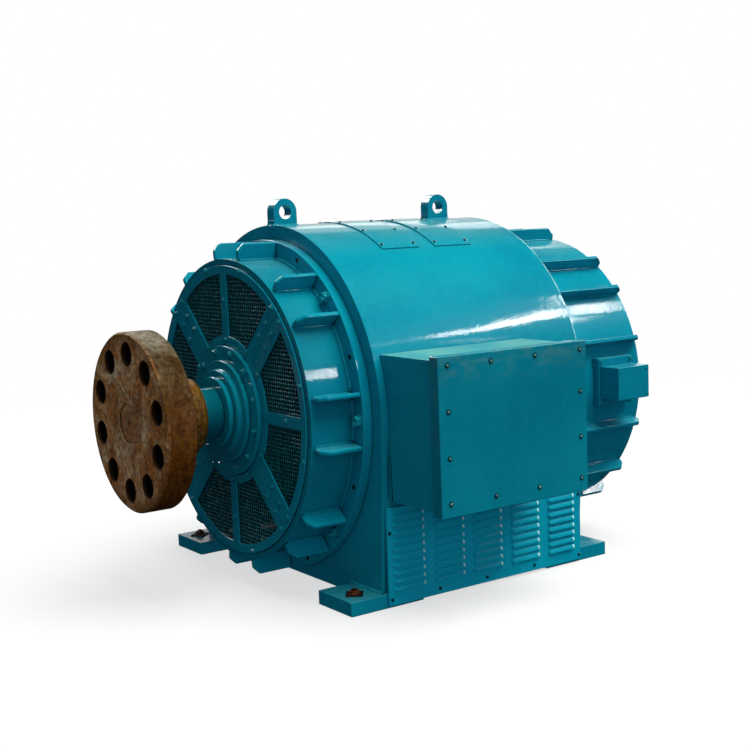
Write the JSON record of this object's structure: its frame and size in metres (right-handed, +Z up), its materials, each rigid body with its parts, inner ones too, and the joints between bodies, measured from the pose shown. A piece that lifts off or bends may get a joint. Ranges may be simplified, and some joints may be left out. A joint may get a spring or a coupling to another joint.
{
  "type": "hydroelectric generator",
  "caption": "Horizontal open-ventilated generator with round stator frame on foot plates, ribbed end shields, wire-screened openings, side terminal box and forged shaft coupling",
  "frame": {"origin": "centre of the four holding-down bolts, on the plane that the foot plates stand on", "axes": "+Z up, shaft along Y with the coupling towards -Y, terminal box on +X"},
  "size_m": [1.698, 2.109, 1.482],
  "materials": {
    "enamel": "gloss teal enamel over fabricated steel",
    "enamel_dusty": "gloss teal enamel with a film of dust",
    "rusty_forging": "forged steel with brown rust and dark scale, turned faces",
    "bare_shaft": "machined steel, lightly rusted",
    "dark_wire": "woven steel wire, dark"
  },
  "bodies": {
    "stator": {"aux_box_base": "enamel", "aux_box_cover": "enamel", "de_bearing_cap": "enamel", "de_bearing_cover": "enamel", "de_bearing_flange": "enamel", "de_mating_flange": "enamel", "de_screen_bottom": "enamel", "de_screen_left": "enamel", "de_screen_right": "enamel", "de_screen_top": "enamel", "de_shaft_seal": "enamel", "de_shield_casting": "enamel", "de_shield_ribs": "enamel", "de_wire_mesh": "dark_wire", "foot_front_left": "enamel", "foot_front_right": "enamel", "foot_rear_left": "enamel", "foot_rear_right": "enamel", "frame_front_plate": "enamel", "frame_rear_plate": "enamel", "frame_shell": "enamel", "lifting_eye_front": "enamel", "lifting_eye_rear": "enamel", "louver_panel_left": "enamel", "louver_panel_right": "enamel", "nde_bearing_cap": "enamel", "nde_bearing_flange": "enamel", "nde_mating_flange": "enamel", "nde_screen_bottom": "enamel", "nde_screen_left": "enamel", "nde_screen_right": "enamel", "nde_screen_top": "enamel", "nde_shield_casting": "enamel", "nde_shield_ribs": "enamel", "nde_wire_mesh": "dark_wire", "terminal_box_body": "enamel_dusty", "terminal_box_cover": "enamel", "top_cover_front": "enamel", "top_cover_rear": "enamel"},
    "rotor": {"rotor_shaft": "bare_shaft", "coupling_flange": "rusty_forging"}
  },
  "joints": [
    {"name": "rotor_spin", "type": "hinge", "parent": "stator", "child": "rotor", "pos_m": [0, -0.8, 0.681], "axis": [0, 1, 0], "continuous": true}
  ]
}
